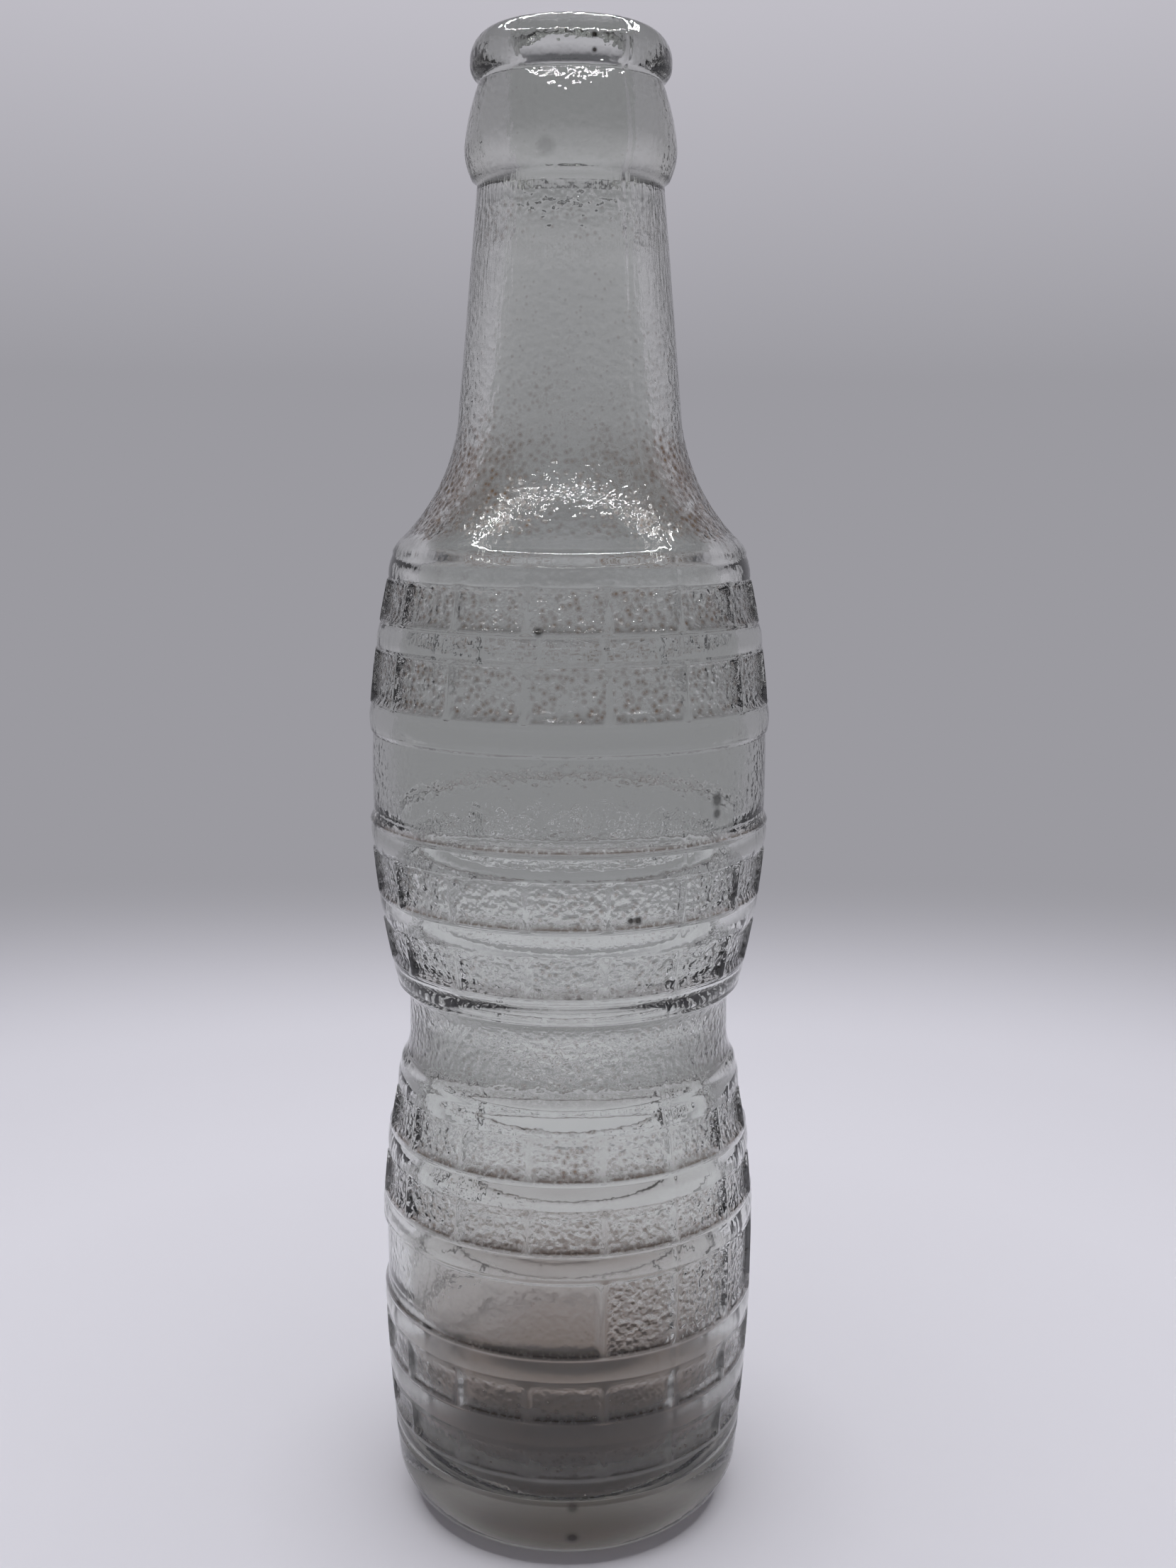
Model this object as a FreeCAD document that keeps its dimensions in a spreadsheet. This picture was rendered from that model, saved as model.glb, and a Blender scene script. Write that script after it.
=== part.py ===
import FreeCAD, Part
import math
import os
import Sketcher

# Glass soda bottle: one piece of clear pressed-and-blown glass, in millimetres, standing on Z = 0.
# The wall is one turned section. Round its two barrels run twelve hoops, with rows of sunk windows
# between upright stave ribs, a sunk plain band on the upper barrel and plain panels on the lower one.

# Driving dimensions: millimetres and counts.
DIMENSIONS = {
    # mouth: a bead for a crown cap over a bulb-shaped collar, by drops from the rim
    "overall_height": 206.0,
    "bore_radius": 8.0,
    "bore_depth": 22.0,
    "rim_rounding": 1.5,
    "bead_radius": 13.3,
    "bead_drop": 4.0,
    "bead_land": 0.6,
    "crease_set_in": 1.2,
    "crease_drop": 6.5,
    "collar_radius": 14.1,
    "collar_drop": 14.8,
    "collar_sweep": 30.0,
    "collar_foot_set_in": 1.0,
    "collar_foot_drop": 18.8,
    "collar_step": 0.5,
    # neck and shoulder
    "neck_set_in": 0.65,
    "neck_base_radius": 15.2,
    "shoulder_reach": 14.7,
    "shoulder_sweep": 27.0,
    "shoulder_set_in": 5.8,
    "shoulder_rise": 4.1,
    "shoulder_rounding": 6.0,
    # upper barrel, waist, lower barrel, heel and foot
    "upper_belly": 28.1,
    "upper_sweep": 122.0,
    "waist_set_in": 4.35,
    "waist_top_drop": 3.4,
    "waist_foot_rise": 5.8,
    "lower_belly": 27.1,
    "lower_belly_rise": 2.45,
    "lower_sweep": 114.0,
    "heel_set_in": 1.75,
    "heel_rounding": 8.0,
    "foot_width": 2.2,
    "push_up": 3.0,
    # inside of the blown wall
    "wall": 3.4,
    "neck_wall": 3.8,
    "base_thickness": 6.0,
    "floor_rounding": 10.0,
    "inner_shoulder_set_in": 2.6,
    "inner_shoulder_drop": 2.2,
    "inner_shoulder_sweep": 30.0,
    "inner_shoulder_rounding": 8.0,
    "inner_waist_sweep": 13.0,
    # hoops: the height of the lowest one's middle, then the pitch from each hoop to the next one up
    "hoop_width": 3.6,
    "hoop_twelve": 13.1,
    "row_eight_pitch": 8.4,
    "row_seven_pitch": 9.7,
    "lower_band_pitch": 14.7,
    "row_six_pitch": 9.7,
    "row_five_pitch": 9.6,
    "waist_pitch": 15.4,
    "row_four_pitch": 9.5,
    "row_three_pitch": 10.2,
    "upper_band_pitch": 16.5,
    "row_two_pitch": 11.0,
    "row_one_pitch": 9.4,
    # staves and sunk fields
    "staves": 16,
    "rib_width": 1.0,
    "relief": 0.4,
    "ledge_run": 0.4,
    "panel_staves": 5,
    "panel_place": 2,
    "panels": 2,
}

# Heights and radii that follow from the driving dimensions, each in a cell of its own.
FOLLOWING = {
    "hoop_eleven": "hoop_twelve + row_eight_pitch",
    "hoop_ten": "hoop_eleven + row_seven_pitch",
    "hoop_nine": "hoop_ten + lower_band_pitch",
    "hoop_eight": "hoop_nine + row_six_pitch",
    "hoop_seven": "hoop_eight + row_five_pitch",
    "hoop_six": "hoop_seven + waist_pitch",
    "hoop_five": "hoop_six + row_four_pitch",
    "hoop_four": "hoop_five + row_three_pitch",
    "hoop_three": "hoop_four + upper_band_pitch",
    "hoop_two": "hoop_three + row_two_pitch",
    "hoop_one": "hoop_two + row_one_pitch",
    "heel_radius": "lower_belly - heel_set_in",
    "lower_belly_height": "(hoop_nine + hoop_ten) / 2 + lower_belly_rise",
    "waist_radius": "lower_belly - waist_set_in",
    "waist_foot": "hoop_seven + waist_foot_rise",
    "waist_top": "hoop_six - waist_top_drop",
    "upper_belly_height": "(hoop_three + hoop_four) / 2",
    "shoulder_radius": "upper_belly - shoulder_set_in",
    "shoulder_height": "hoop_one + shoulder_rise",
    "inner_shoulder_radius": "shoulder_radius - inner_shoulder_set_in",
    "inner_shoulder_height": "shoulder_height - inner_shoulder_drop",
    "neck_base_height": "shoulder_height + shoulder_reach",
    "inner_neck_radius": "neck_base_radius - neck_wall",
    "collar_foot_radius": "collar_radius - collar_foot_set_in",
    "neck_top_radius": "collar_foot_radius - neck_set_in",
    "crease_radius": "bead_radius - crease_set_in",
}

FULL_TURN = 360.0


def add_sheet(doc):
    """Put every dimension in a cell of its own, under its name."""
    sheet = doc.addObject("Spreadsheet::Sheet", "size")
    cells = {alias: str(value) for alias, value in DIMENSIONS.items()}
    cells.update({alias: f"={formula}" for alias, formula in FOLLOWING.items()})
    for row, (alias, content) in enumerate(cells.items(), start=1):
        sheet.set(f"A{row}", alias)
        sheet.set(f"B{row}", content)
        sheet.setAlias(f"B{row}", alias)
    doc.recompute()


def drop(name):
    """Height of a place on the mouth, measured down from the rim."""
    return f"(size.overall_height - size.{name})"


def tangent_sweep(across, along):
    """Radius of an arc that leaves its wide end upright and closes in by across over the length along."""
    return f"((({across}) ^ 2 + ({along}) ^ 2) / (2 * ({across})))"


HEEL_SWEEP = tangent_sweep("size.heel_set_in", "size.lower_belly_height - size.heel_rounding")

# Each barrel curve: its widest radius, the height of that and the radius of its sweep.
UPPER = ("size.upper_belly", "size.upper_belly_height", "size.upper_sweep")
LOWER = ("size.lower_belly", "size.lower_belly_height", "size.lower_sweep")
HEEL = ("size.lower_belly", "size.lower_belly_height", HEEL_SWEEP)


def barrel_radius(curve, height):
    """Radius of a barrel curve at a height."""
    belly, middle, sweep = curve
    return f"({belly} - {sweep} + sqrt({sweep} ^ 2 - ({height} - {middle}) ^ 2))"


def hoop_top(hoop):
    return f"(size.hoop_{hoop} + size.hoop_width / 2)"


def hoop_foot(hoop):
    return f"(size.hoop_{hoop} - size.hoop_width / 2)"


def convex(sweep):
    """An arc whose centre lies on the glass side of the outline."""
    return 1, sweep


def concave(sweep):
    """An arc whose centre lies on the open side of the outline."""
    return -1, sweep


def arc_between(start, end, radius, side):
    """The short arc between two points, its centre to the left of the way (side 1) or the right (-1)."""
    way = end - start
    left = FreeCAD.Vector(-way.y, way.x, 0).normalize()
    reach = math.sqrt(radius ** 2 - (way.Length / 2) ** 2)
    centre = (start + end) / 2 + left * reach * side
    first, last = (start, end) if side > 0 else (end, start)
    circle = Part.Circle(centre, FreeCAD.Vector(0, 0, 1), radius)
    return Part.ArcOfCircle(circle, circle.parameter(first), circle.parameter(last))


def bind(sketch, constraint, expression):
    """Add a dimension to a sketch and tie it to the sheet."""
    index = sketch.addConstraint(constraint)
    sketch.setExpression(f"Constraints[{index}]", expression)


def place_corner(sketch, edge, point, radius, height):
    """Hold one corner of an outline at its radius and height; a plain zero lies on the axis or the floor."""
    origin = (-1, 1)
    if radius == "0":
        sketch.addConstraint(Sketcher.Constraint("PointOnObject", edge, point, -2))
    else:
        value = float(sketch.evalExpression(radius))
        bind(sketch, Sketcher.Constraint("DistanceX", *origin, edge, point, value), radius)
    if height == "0":
        sketch.addConstraint(Sketcher.Constraint("PointOnObject", edge, point, -1))
    else:
        value = float(sketch.evalExpression(height))
        bind(sketch, Sketcher.Constraint("DistanceY", *origin, edge, point, value), height)


def draw_outline(sketch, corners):
    """Draw a closed outline, glass on the left of the way round.

    Each corner is a radius, a height and the arc that leaves it, or None for a straight run.
    """
    points = []
    for radius, height, _ in corners:
        across = float(sketch.evalExpression(radius))
        up = float(sketch.evalExpression(height))
        points.append(FreeCAD.Vector(across, up, 0))
    starts = []
    ends = []
    for index, (_, _, arc) in enumerate(corners):
        start = points[index]
        end = points[(index + 1) % len(points)]
        if arc is None:
            edge = sketch.addGeometry(Part.LineSegment(start, end))
            forward = True
        else:
            side, sweep = arc
            radius = float(sketch.evalExpression(sweep))
            edge = sketch.addGeometry(arc_between(start, end, radius, side))
            bind(sketch, Sketcher.Constraint("Radius", edge, radius), sweep)
            forward = side > 0
        starts.append((edge, 1 if forward else 2))
        ends.append((edge, 2 if forward else 1))
    for index, (radius, height, _) in enumerate(corners):
        sketch.addConstraint(Sketcher.Constraint("Coincident", *ends[index - 1], *starts[index]))
        place_corner(sketch, *starts[index], radius, height)


def add_sketch(body, name, turn=None):
    """A sketch on the body's upright XZ plane, turned about the axis where a turn is given."""
    plane = next(item for item in body.Origin.OriginFeatures if item.Role == "XZ_Plane")
    sketch = body.newObject("Sketcher::SketchObject", name)
    sketch.AttachmentSupport = [(plane, "")]
    sketch.MapMode = "FlatFace"
    if turn is not None:
        sketch.setExpression("AttachmentOffset.Rotation.Axis.x", "0")
        sketch.setExpression("AttachmentOffset.Rotation.Axis.y", "1")
        sketch.setExpression("AttachmentOffset.Rotation.Axis.z", "0")
        sketch.setExpression("AttachmentOffset.Rotation.Angle", turn)
    return sketch


def outer_corners():
    """Outside of the wall, from the foot ring up to the rim."""
    bead_run = "size.bead_radius - size.bore_radius - size.rim_rounding"
    bead_foot = f"({drop('bead_drop')} - size.bead_land)"
    under_bead = tangent_sweep("size.crease_set_in", f"{bead_foot} - {drop('crease_drop')}")
    under_collar = tangent_sweep("size.collar_foot_set_in", "size.collar_foot_drop - size.collar_drop")
    flare_radius = barrel_radius(LOWER, hoop_top("seven"))
    flare = tangent_sweep(f"{flare_radius} - size.waist_radius", f"size.waist_foot - {hoop_top('seven')}")
    return [
        ("size.heel_radius - size.heel_rounding", "0", convex("size.heel_rounding")),
        ("size.heel_radius", "size.heel_rounding", convex(HEEL_SWEEP)),
        ("size.lower_belly", "size.lower_belly_height", convex("size.lower_sweep")),
        (flare_radius, hoop_top("seven"), concave(flare)),
        ("size.waist_radius", "size.waist_foot", None),
        ("size.waist_radius", "size.waist_top", None),
        (barrel_radius(UPPER, hoop_foot("six")), hoop_foot("six"), convex("size.upper_sweep")),
        (barrel_radius(UPPER, hoop_top("one")), hoop_top("one"), convex("size.shoulder_rounding")),
        ("size.shoulder_radius", "size.shoulder_height", concave("size.shoulder_sweep")),
        ("size.neck_base_radius", "size.neck_base_height", None),
        ("size.neck_top_radius", f"{drop('collar_foot_drop')} - size.collar_step", None),
        ("size.collar_foot_radius", drop("collar_foot_drop"), convex(under_collar)),
        ("size.collar_radius", drop("collar_drop"), convex("size.collar_sweep")),
        ("size.crease_radius", drop("crease_drop"), convex(under_bead)),
        ("size.bead_radius", bead_foot, None),
        ("size.bead_radius", drop("bead_drop"), convex(tangent_sweep(bead_run, "size.bead_drop"))),
        ("size.bore_radius + size.rim_rounding", "size.overall_height", convex("size.rim_rounding")),
    ]


def inner_corners():
    """Inside of the wall, from the rim down the bore to the floor, then along the push-up to the foot."""
    floor = "(size.push_up + size.base_thickness)"
    floor_top = f"({floor} + size.floor_rounding)"
    floor_wide = f"({barrel_radius(HEEL, floor_top)} - size.wall)"
    upper_inside = "(size.upper_sweep - size.wall)"
    lower_inside = "(size.lower_sweep - size.wall)"
    waist_upper = hoop_top("six")
    waist_lower = hoop_top("seven")
    foot_inner = "(size.heel_radius - size.heel_rounding - size.foot_width)"
    dome = tangent_sweep("size.push_up", foot_inner)
    return [
        ("size.bore_radius", drop("rim_rounding"), None),
        ("size.bore_radius", drop("bore_depth"), None),
        ("size.inner_neck_radius", "size.neck_base_height", convex("size.inner_shoulder_sweep")),
        ("size.inner_shoulder_radius", "size.inner_shoulder_height", concave("size.inner_shoulder_rounding")),
        (f"{barrel_radius(UPPER, 'size.hoop_one')} - size.wall", "size.hoop_one", concave(upper_inside)),
        (f"{barrel_radius(UPPER, waist_upper)} - size.wall", waist_upper, convex("size.inner_waist_sweep")),
        (f"{barrel_radius(LOWER, waist_lower)} - size.wall", waist_lower, concave(lower_inside)),
        ("size.lower_belly - size.wall", "size.lower_belly_height", concave(f"({HEEL_SWEEP} - size.wall)")),
        (floor_wide, floor_top, concave("size.floor_rounding")),
        (f"{floor_wide} - size.floor_rounding", floor, None),
        ("0", floor, None),
        ("0", "size.push_up", concave(dome)),
        (foot_inner, "0", None),
    ]


def field_corners(upper_hoop, lower_hoop, upper_curve, lower_curve):
    """Section of a sunk field between two hoops, with sloping ledges that run out past the glass."""
    top = hoop_foot(upper_hoop)
    foot = hoop_top(lower_hoop)
    top_radius = barrel_radius(upper_curve, top)
    foot_radius = barrel_radius(lower_curve, foot)
    return [
        (f"{top_radius} - size.relief", f"{top} - size.ledge_run", None),
        (f"{foot_radius} - size.relief", f"{foot} + size.ledge_run", None),
        (f"{foot_radius} + size.relief", f"{foot} - size.ledge_run", None),
        (f"{top_radius} + size.relief", f"{top} + size.ledge_run", None),
    ]


UPPER_BAND = ("three", "four", UPPER, UPPER)
LOWER_BAND = ("nine", "ten", LOWER, HEEL)
STAVE_ROWS = (
    ("one", "two", UPPER, UPPER),
    ("two", "three", UPPER, UPPER),
    ("four", "five", UPPER, UPPER),
    ("five", "six", UPPER, UPPER),
    ("seven", "eight", LOWER, LOWER),
    ("eight", "nine", LOWER, LOWER),
    LOWER_BAND,
    ("ten", "eleven", HEEL, HEEL),
    ("eleven", "twelve", HEEL, HEEL),
)

STAVE_ANGLE = f"({FULL_TURN} / size.staves)"
RIB_ANGLE = "(size.rib_width / size.upper_belly * 180 / pi)"


def add_wall(doc, body):
    """Turn the section of the wall."""
    sketch = add_sketch(body, "wall_section")
    draw_outline(sketch, outer_corners() + inner_corners())
    turned = body.newObject("PartDesign::Revolution", "turned_wall")
    turned.Profile = sketch
    turned.ReferenceAxis = (sketch, ["V_Axis"])
    turned.Angle = FULL_TURN
    body.Tip = turned
    doc.recompute()


def sink_fields(doc, body, name, fields, angle, copies=None, turn=None):
    """Sink fields into the outside of the wall over an angle, and repeat them round the axis."""
    before = body.Shape.Volume
    sketch = add_sketch(body, f"{name}_section", turn)
    for field in fields:
        draw_outline(sketch, field_corners(*field))
    groove = body.newObject("PartDesign::Groove", name)
    groove.Profile = sketch
    groove.ReferenceAxis = (sketch, ["V_Axis"])
    groove.Midplane = True
    groove.setExpression("Angle", angle)
    body.Tip = groove
    doc.recompute()
    if copies is not None:
        pattern = body.newObject("PartDesign::PolarPattern", f"{name}_round")
        pattern.Originals = [groove]
        pattern.Axis = (sketch, ["V_Axis"])
        pattern.Angle = FULL_TURN
        pattern.setExpression("Occurrences", copies)
        body.Tip = pattern
        doc.recompute()
    if not body.Shape.Volume < before:
        raise RuntimeError(f"{name} removed no glass")


def check_document(doc):
    """Stop where any object of the document failed."""
    for item in doc.Objects:
        if "Invalid" in item.State or "Error" in item.State:
            raise RuntimeError(f"{item.Name} failed: {item.State}")


def main():
    doc = FreeCAD.newDocument("soda_bottle")
    add_sheet(doc)
    bottle = doc.addObject("PartDesign::Body", "glass_bottle")
    bottle.Label = "glass_bottle"
    add_wall(doc, bottle)
    sink_fields(doc, bottle, "upper_band", [UPPER_BAND], str(FULL_TURN))
    sink_fields(doc, bottle, "stave_rows", STAVE_ROWS, f"{STAVE_ANGLE} - {RIB_ANGLE}", "size.staves")
    sink_fields(
        doc,
        bottle,
        "plain_panels",
        [LOWER_BAND],
        f"size.panel_staves * {STAVE_ANGLE} - {RIB_ANGLE}",
        "size.panels",
        f"size.panel_place * {STAVE_ANGLE}",
    )
    check_document(doc)
    shape = bottle.Shape
    if shape.isNull() or not shape.isValid() or len(shape.Solids) != 1:
        raise RuntimeError("the bottle is not one valid solid")
    os.makedirs("parts", exist_ok=True)
    shape.exportStep(f"parts/{bottle.Label}.step")
    box = shape.BoundBox
    print(f"glass {shape.Volume:.0f} cubic mm")
    print(f"box {box.XLength:.2f} x {box.YLength:.2f} x {box.ZLength:.2f} mm")


main()
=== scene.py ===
import math

import bmesh
import bpy
import numpy as np
from mathutils import Matrix, Vector, noise


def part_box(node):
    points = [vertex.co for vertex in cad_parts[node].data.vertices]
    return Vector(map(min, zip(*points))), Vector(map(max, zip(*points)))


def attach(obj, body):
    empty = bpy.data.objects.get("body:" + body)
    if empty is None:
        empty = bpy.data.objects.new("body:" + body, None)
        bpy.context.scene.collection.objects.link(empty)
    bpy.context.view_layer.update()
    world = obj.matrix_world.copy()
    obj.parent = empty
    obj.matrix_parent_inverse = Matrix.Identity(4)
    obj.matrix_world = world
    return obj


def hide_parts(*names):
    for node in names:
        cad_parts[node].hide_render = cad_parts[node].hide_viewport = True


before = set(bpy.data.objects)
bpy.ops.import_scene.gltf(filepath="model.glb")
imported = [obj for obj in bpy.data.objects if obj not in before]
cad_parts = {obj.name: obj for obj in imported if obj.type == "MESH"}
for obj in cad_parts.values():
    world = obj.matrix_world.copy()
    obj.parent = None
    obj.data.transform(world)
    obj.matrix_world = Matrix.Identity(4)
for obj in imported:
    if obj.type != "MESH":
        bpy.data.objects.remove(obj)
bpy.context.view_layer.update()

bl_info = {
    "name": "Glass soda bottle",
    "version": (1, 0, 0),
    "blender": (4, 5, 0),
    "location": "View3D > Sidebar > Bottle",
    "description": "Lathes and embosses a clear glass soda bottle and sets it in a small light tent",
    "category": "Add Mesh",
}

MM = 0.001
FULL_TURN = 2 * math.pi
BOTTLE_NODE = "glass_bottle"
WELD = 0.001 * MM
# About the radius of the barrels, to set an angle against a height.
ARM = 25 * MM

# Heights of the middles of the hoops in millimetres, from the shoulder down.
HOOP_HEIGHTS = (137.2, 127.8, 116.8, 100.3, 90.1, 80.6, 65.2, 55.6, 45.9, 31.2, 21.5, 13.1)

# Dark specks and stains: degrees from the front, height and size in millimetres, and strength.
SPECKS = (
    (-7.5, 130.0, 0.7, 1.0),
    (17.5, 92.8, 0.55, 1.0),
    (19.2, 92.9, 0.65, 1.0),
    (45.0, 107.6, 1.1, 0.9),
    (45.5, 106.0, 0.8, 0.9),
    (13.0, 202.4, 0.5, 1.0),
    (13.0, 200.9, 0.4, 1.0),
    (1.5, 10.8, 0.9, 0.9),
    (1.5, 5.6, 1.1, 1.0),
    (-12.0, 189.4, 1.3, 0.35),
)

# Share of each speck's size where it is full, and where it has faded out.
SPECK_FADE = (0.5, 1.2)

# Share of the round pits in the pebbled finish, and the stretch of the streaks along the neck.
PIT_SHARE = 0.3
STREAK_STRETCH = 0.08

# Dirt fills a pit most at its middle. Pits, patches and ledges add up, and dirt shows over a range.
PIT_DIRT = 0.9
PIT_FALL = 0.8
PATCH_SHARE = 0.5
SOIL_SHARE = 0.55
DIRT_RANGE = (0.8, 1.3)
# Fine dirt and painted shade along the feet of the rows show where the grit falls in this range.
SILT_AND_SHADE_RANGE = (0.1, 0.5)

# Glow of the tent: heights in millimetres and the tones reached there.
TENT_TONES = (
    (0, "wall_tone"),
    (192, "wall_tone"),
    (360, "high_tone"),
    (496, "high_tone"),
    (600, "dark_tone"),
)
TONE_SPAN = 800

# Higher up, the cloth gives the bottle less light than the camera sees.
SHADE_RISE = (320 * MM, 520 * MM)
SHADE = 0.6

# The floor's edge is a square with well rounded corners: the power of its outline.
FLOOR_POWER = 4.0

STAGE_STEPS = 96
STAGE_SPACING = 30 * MM
# Radius of the bend from the floor into the wall, as a share of the tent's radius.
TENT_BEND = 0.3


def linear(code):
    """Linear red, green and blue of an sRGB hex colour."""
    channels = [int(code[index:index + 2], 16) / 255 for index in (1, 3, 5)]
    return tuple(c / 12.92 if c <= 0.04045 else ((c + 0.055) / 1.055) ** 2.4 for c in channels)


def length(name, millimetres, description):
    """A length that a user may change, given here in millimetres."""
    return bpy.props.FloatProperty(
        name=name, description=description, default=millimetres * MM, min=0.0, unit="LENGTH", precision=5
    )


def number(name, default, description):
    """A plain number that a user may change."""
    return bpy.props.FloatProperty(name=name, description=description, default=default, min=0.0)


def angle(name, degrees, description):
    """An angle that a user may change, given here in degrees."""
    return bpy.props.FloatProperty(
        name=name, description=description, default=math.radians(degrees), subtype="ANGLE"
    )


def colour(name, code, description):
    """A colour that a user may change, given here as an sRGB hex value."""
    return bpy.props.FloatVectorProperty(
        name=name, description=description, default=linear(code), size=3, min=0.0, max=1.0, subtype="COLOR"
    )


class BottleSizes(bpy.types.PropertyGroup):
    """Sizes of the bottle, whose section is that of the solid that it stands for"""

    bore_radius: length("Bore radius", 8.0, "Radius of the mouth's straight bore")
    bore_depth: length("Bore depth", 22.0, "Depth of the straight bore below the rim")
    rim_rounding: length("Rim rounding", 1.5, "Rounding between the rim and the bore")
    bead_radius: length("Bead radius", 13.3, "Outside radius of the lip bead")
    bead_drop: length("Bead drop", 4.0, "Drop from the rim to the bead's widest line")
    bead_land: length("Bead land", 0.6, "Height of the bead's upright land")
    crease_radius: length("Crease radius", 12.1, "Radius of the crease under the bead")
    crease_drop: length("Crease drop", 6.5, "Drop from the rim to the crease")
    collar_radius: length("Collar radius", 14.1, "Radius of the bulb-shaped collar")
    collar_drop: length("Collar drop", 14.8, "Drop from the rim to the collar's widest line")
    collar_sweep: length("Collar sweep", 30.0, "Radius of the collar's upper sweep")
    collar_foot_radius: length("Collar foot radius", 13.1, "Radius where the collar ends")
    collar_foot_drop: length("Collar foot drop", 18.8, "Drop from the rim to the collar's foot")
    collar_step: length("Collar step", 0.5, "Height of the step under the collar")
    neck_top_radius: length("Neck top radius", 12.45, "Radius of the neck under the collar")
    neck_base_radius: length("Neck base radius", 15.2, "Radius of the neck where the shoulder begins")
    neck_base_height: length("Neck base height", 156.0, "Height where the shoulder begins")
    neck_wall: length("Neck wall", 3.8, "Thickness of the glass at the neck's base")
    shoulder_sweep: length("Shoulder sweep", 27.0, "Radius of the hollow shoulder")
    shoulder_radius: length("Shoulder radius", 22.3, "Radius at the shoulder's edge")
    shoulder_height: length("Shoulder height", 141.3, "Height of the shoulder's edge")
    shoulder_rounding: length("Shoulder rounding", 6.0, "Rounding from the shoulder into the first hoop")
    upper_belly: length("Upper belly", 28.1, "Widest radius of the upper barrel")
    upper_belly_height: length("Upper belly height", 108.55, "Height of the upper barrel's widest line")
    upper_sweep: length("Upper sweep", 122.0, "Radius of the upper barrel's side")
    waist_radius: length("Waist radius", 22.75, "Radius of the waist")
    waist_top: length("Waist top", 77.2, "Height where the waist ends")
    waist_foot: length("Waist foot", 71.0, "Height where the waist begins")
    lower_belly: length("Lower belly", 27.1, "Widest radius of the lower barrel")
    lower_belly_height: length("Lower belly height", 41.0, "Height of the lower barrel's widest line")
    lower_sweep: length("Lower sweep", 114.0, "Radius of the lower barrel's side")
    heel_radius: length("Heel radius", 25.35, "Radius at the top of the heel")
    heel_rounding: length("Heel rounding", 8.0, "Rounding of the heel")
    foot_width: length("Foot width", 2.2, "Width of the ring that the bottle stands on")
    push_up: length("Push-up", 3.0, "Rise of the hollow under the base")
    wall: length("Wall", 3.4, "Thickness of the glass in the barrels")
    base_thickness: length("Base thickness", 6.0, "Thickness of the base over the push-up")
    floor_rounding: length("Floor rounding", 10.0, "Rounding between the inside floor and the wall")
    inner_shoulder_set_in: length("Inner shoulder set-in", 2.6, "Inside of the shoulder, in from its edge")
    inner_shoulder_drop: length("Inner shoulder drop", 2.2, "Inside of the shoulder, below its edge")
    inner_shoulder_sweep: length("Inner shoulder sweep", 30.0, "Radius of the shoulder's inside")
    inner_shoulder_rounding: length("Inner shoulder rounding", 8.0, "Rounding under the inside shoulder")
    inner_waist_sweep: length("Inner waist sweep", 13.0, "Radius of the waist's inside")
    hoop_heights: bpy.props.FloatVectorProperty(
        name="Hoop heights",
        description="Heights of the middles of the hoops, from the shoulder down",
        default=[height * MM for height in HOOP_HEIGHTS],
        size=len(HOOP_HEIGHTS),
        unit="LENGTH",
        precision=5,
    )
    hoop_width: length("Hoop width", 3.6, "Height of each hoop")
    hoop_crown: length("Hoop crown", 0.25, "How far a hoop's edges fall below its middle")
    staves: bpy.props.IntProperty(name="Staves", description="Staves round a barrel", default=16, min=3)
    rib_width: length("Rib width", 0.5, "Width of the ribs between the windows")
    relief: length("Relief", 0.6, "Depth of the sunk fields")
    ledge: length("Ledge", 0.45, "Width of the sloping edge of a sunk field")
    foot_ledge: length("Foot ledge", 1.0, "Width of the slope at the foot of a sunk field")
    window_corner: length("Window corner", 0.9, "Corner radius of a sunk window")
    panel_staves: bpy.props.IntProperty(
        name="Panel staves", description="Staves that a plain panel takes up", default=5, min=1
    )
    panel_turn: angle("Panel turn", -45.0, "Middle of the first plain panel, from the front")
    seam_turn: angle("Seam turn", 33.75, "Place of the first mould seam, from the front")
    seam_height: length("Seam height", 0.09, "Height of the mould seam")
    seam_width: length("Seam width", 0.5, "Width of the mould seam")


class GlassLook(bpy.types.PropertyGroup):
    """Finish of the glass"""

    clear: colour("Clear glass", "#eff1ee", "Tint of clean glass")
    grime: colour("Grime", "#74491f", "Tint of dried dirt in the ledges and pits")
    # Painted shade: dark brown along the foot of each row, partly fine dirt and partly standing in for the
    # dark lines of the ledges.
    silt_and_shade: colour("Silt", "#402c19", "Tint of the fine dirt along the feet of the rows")
    speck: colour("Speck", "#14110d", "Tint of the dark specks")
    residue: colour("Residue", "#6b472b", "Tint of the dried film inside the base")
    depth_tint: colour("Depth tint", "#d6d5cf", "Colour that thick glass takes on")
    depth_density: number("Depth density", 34.0, "How soon thick glass takes on its colour, per metre")
    ior: number("IOR", 1.52, "Index of refraction of soda-lime glass")
    roughness: number("Roughness", 0.02, "Roughness of clean glass")
    pebble: length("Pebble", 0.95, "Size of the pebbles in the rows and on the shoulder")
    pebble_height: length("Pebble height", 0.48, "Height of the pebbles")
    drag: length("Drag", 0.5, "Width of the drawn streaks under the collar")
    drag_height: length("Drag height", 0.2, "Height of the drawn streaks")
    sway: length("Sway", 0.1, "Depth of the slow ripples of the blown wall")
    grit: length("Grit", 0.55, "Size of the grains in the fine dirt")
    patch: length("Patch", 7.0, "Size of the patches that the dirt lies in")
    dirt_roughness: number("Dirt roughness", 0.45, "Roughness of soiled glass")
    residue_top: length("Residue top", 54.0, "Height that the dried film reaches inside")


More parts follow.
